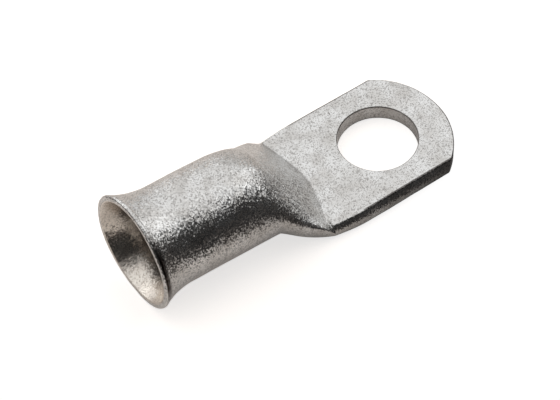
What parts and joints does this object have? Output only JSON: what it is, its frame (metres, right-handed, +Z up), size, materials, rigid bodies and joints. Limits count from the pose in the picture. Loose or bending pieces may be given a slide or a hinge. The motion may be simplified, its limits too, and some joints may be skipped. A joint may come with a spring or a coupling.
{
  "type": "cable lug",
  "caption": "Tinned copper tube lug: a belled round barrel for a cable, pressed flat into a palm with one stud hole.",
  "frame": {"origin": "centre of the stud hole on the palm's underside, which is the contact face", "axes": "+X out along the palm to its tip, the barrel lying along -X; +Y across the palm; +Z up through the stud hole, from the contact face to the palm's top"},
  "size_m": [0.0466, 0.0182, 0.0153],
  "materials": {
    "tinned_copper": "satin"
  },
  "bodies": {
    "root": {"cable_lug": "tinned_copper"}
  },
  "joints": []
}
